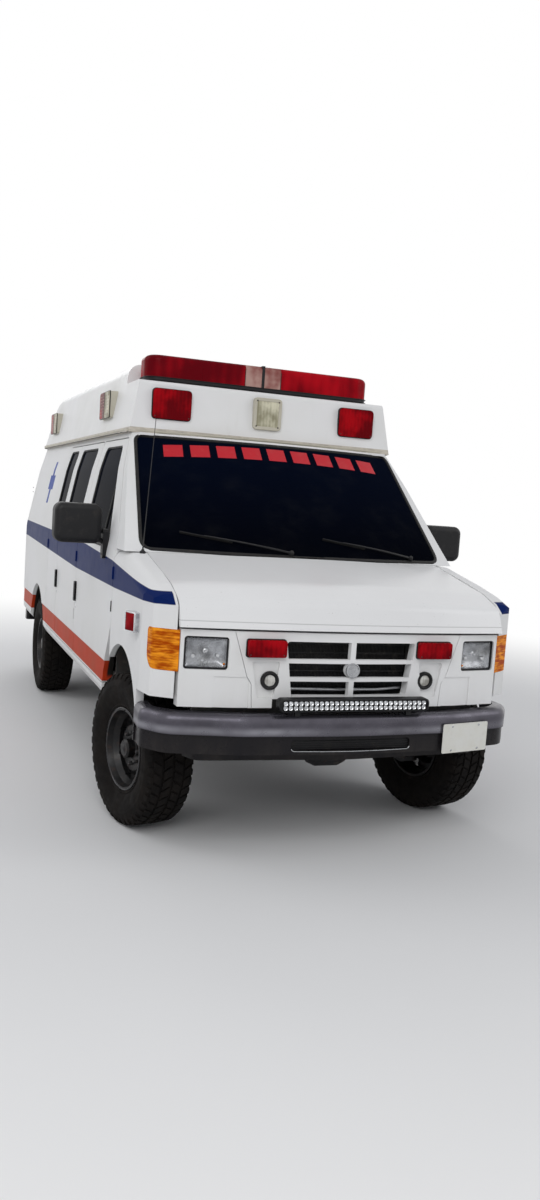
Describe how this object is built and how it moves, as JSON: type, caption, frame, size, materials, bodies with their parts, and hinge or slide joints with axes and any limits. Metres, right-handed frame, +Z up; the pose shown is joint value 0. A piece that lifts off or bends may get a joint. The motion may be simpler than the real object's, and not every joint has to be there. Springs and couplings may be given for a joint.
{
  "type": "high-roof van ambulance",
  "caption": "Lifted high-roof van ambulance with hinged cab, cargo and rear doors, lifting hood, steered front wheels and roof warning lamps.",
  "frame": {"origin": "on the floor under the middle of the bounding box", "axes": "+X to the vehicle's left, nose towards -Y, +Z up"},
  "size_m": [2.618, 5.506, 2.602],
  "materials": {
    "body_paint": "white enamel, a little worn, with a blue and a red stripe",
    "roof_gelcoat": "white moulded fibreglass with a stained lip",
    "fascia_plastic": "white painted plastic",
    "bumper_paint": "dark silver grey enamel, scuffed",
    "black_plastic": "black moulded plastic, slightly faded",
    "tinted_glass": "nearly black tinted glass",
    "amber_lens": "amber moulded lens",
    "red_lens": "red moulded lens",
    "clear_lens": "clear ribbed lens, a little yellowed",
    "underbody_paint": "dark dusty underbody paint",
    "chassis_steel": "black chassis paint with dust",
    "cast_metal": "rough cast metal",
    "exhaust_steel": "rust-tinted steel tube",
    "cabinet_plastic": "pale grey laminate",
    "seat_vinyl": "dark grey vinyl",
    "trim_plastic": "dark grey moulded trim",
    "rim_paint": "black enamelled steel wheel",
    "tyre_rubber": "dusty black rubber"
  },
  "bodies": {
    "root": {"body_side_left": "body_paint", "body_side_right": "body_paint", "cab_frame": "body_paint", "front_fenders": "body_paint", "rear_frame": "body_paint", "raised_roof": "roof_gelcoat", "front_fascia": "fascia_plastic", "front_bumper": "bumper_paint", "led_bar": "black_plastic", "windscreen": "tinted_glass", "corner_lamps": "amber_lens", "grille_lamps": "red_lens", "headlamps": "clear_lens", "roof_lamps_red": "red_lens", "roof_lamps_clear": "clear_lens", "light_bar_red": "red_lens", "light_bar_clear": "clear_lens", "light_bar_base": "black_plastic", "fender_markers": "red_lens", "tail_lamps": "red_lens", "wipers_and_mast": "black_plastic", "floor_pan": "underbody_paint", "front_aprons": "underbody_paint", "chassis_frame": "chassis_steel", "front_axle": "chassis_steel", "rear_axle": "chassis_steel", "leaf_springs": "chassis_steel", "powertrain": "cast_metal", "fuel_tank": "chassis_steel", "exhaust": "exhaust_steel", "rear_bumper": "bumper_paint", "interior_fittings": "cabinet_plastic", "seats": "seat_vinyl", "dashboard": "trim_plastic"},
    "front_door_left": {"front_door_left": "body_paint", "front_door_glass_left": "tinted_glass", "mirror_left": "black_plastic"},
    "front_door_right": {"front_door_right": "body_paint", "front_door_glass_right": "tinted_glass", "mirror_right": "black_plastic"},
    "cargo_door_front": {"cargo_door_front": "body_paint", "cargo_door_front_glass": "tinted_glass"},
    "cargo_door_rear": {"cargo_door_rear": "body_paint", "cargo_door_rear_glass": "tinted_glass"},
    "rear_door_left": {"rear_door_left": "body_paint", "rear_door_glass_left": "tinted_glass"},
    "rear_door_right": {"rear_door_right": "body_paint", "rear_door_glass_right": "tinted_glass"},
    "hood": {"hood": "body_paint"},
    "knuckle_left": {"knuckle_left": "chassis_steel"},
    "knuckle_right": {"knuckle_right": "chassis_steel"},
    "tie_rod": {"tie_rod": "chassis_steel"},
    "wheel_front_left": {"rim_front_left": "rim_paint", "tyre_front_left": "tyre_rubber"},
    "wheel_front_right": {"rim_front_right": "rim_paint", "tyre_front_right": "tyre_rubber"},
    "wheel_rear_left": {"rim_rear_left": "rim_paint", "tyre_rear_left": "tyre_rubber"},
    "wheel_rear_right": {"rim_rear_right": "rim_paint", "tyre_rear_right": "tyre_rubber"}
  },
  "joints": [
    {"name": "front_door_left_swing", "type": "hinge", "parent": "root", "child": "front_door_left", "pos_m": [1.01, -1.647, 1.3], "axis": [0, 0, -1], "range_deg": [0, 68]},
    {"name": "front_door_right_swing", "type": "hinge", "parent": "root", "child": "front_door_right", "pos_m": [-1.01, -1.647, 1.3], "axis": [0, 0, 1], "range_deg": [0, 68]},
    {"name": "cargo_door_front_swing", "type": "hinge", "parent": "root", "child": "cargo_door_front", "pos_m": [-1.01, -0.394, 1.3], "axis": [0, 0, 1], "range_deg": [0, 90]},
    {"name": "cargo_door_rear_swing", "type": "hinge", "parent": "root", "child": "cargo_door_rear", "pos_m": [-1.01, 0.998, 1.3], "axis": [0, 0, -1], "range_deg": [0, 90]},
    {"name": "rear_door_left_swing", "type": "hinge", "parent": "root", "child": "rear_door_left", "pos_m": [0.902, 2.601, 1.3], "axis": [0, 0, -1], "range_deg": [0, 120]},
    {"name": "rear_door_right_swing", "type": "hinge", "parent": "root", "child": "rear_door_right", "pos_m": [-0.902, 2.601, 1.3], "axis": [0, 0, 1], "range_deg": [0, 120]},
    {"name": "hood_lift", "type": "hinge", "parent": "root", "child": "hood", "pos_m": [0, -1.887, 1.462], "axis": [-1, 0, 0], "range_deg": [0, 55]},
    {"name": "steer_left", "type": "hinge", "parent": "root", "child": "knuckle_left", "pos_m": [0.77, -1.947, 0.403], "axis": [0, 0, 1], "range_deg": [-42, 18]},
    {"name": "steer_right", "type": "hinge", "parent": "root", "child": "knuckle_right", "pos_m": [-0.77, -1.947, 0.403], "axis": [0, 0, 1], "range_deg": [-42, 18]},
    {"name": "tie_rod_pivot", "type": "hinge", "parent": "knuckle_left", "child": "tie_rod", "pos_m": [0.73715, -1.79245, 0.33], "axis": [0, 0, 1], "range_deg": [-18, 42]},
    {"name": "wheel_front_left_spin", "type": "hinge", "parent": "knuckle_left", "child": "wheel_front_left", "pos_m": [0.87857, -1.92392, 0.403], "axis": [0.9781, 0.2079, 0], "continuous": true},
    {"name": "wheel_front_right_spin", "type": "hinge", "parent": "knuckle_right", "child": "wheel_front_right", "pos_m": [-0.87857, -1.97008, 0.403], "axis": [0.9781, 0.2079, 0], "continuous": true},
    {"name": "wheel_rear_left_spin", "type": "hinge", "parent": "root", "child": "wheel_rear_left", "pos_m": [0.853, 1.558, 0.403], "axis": [1, 0, 0], "continuous": true},
    {"name": "wheel_rear_right_spin", "type": "hinge", "parent": "root", "child": "wheel_rear_right", "pos_m": [-0.853, 1.558, 0.403], "axis": [1, 0, 0], "continuous": true}
  ],
  "couplings": [
    {"joint": "steer_right", "follows": "steer_left", "ratio": 1},
    {"joint": "tie_rod_pivot", "follows": "steer_left", "ratio": -1}
  ]
}
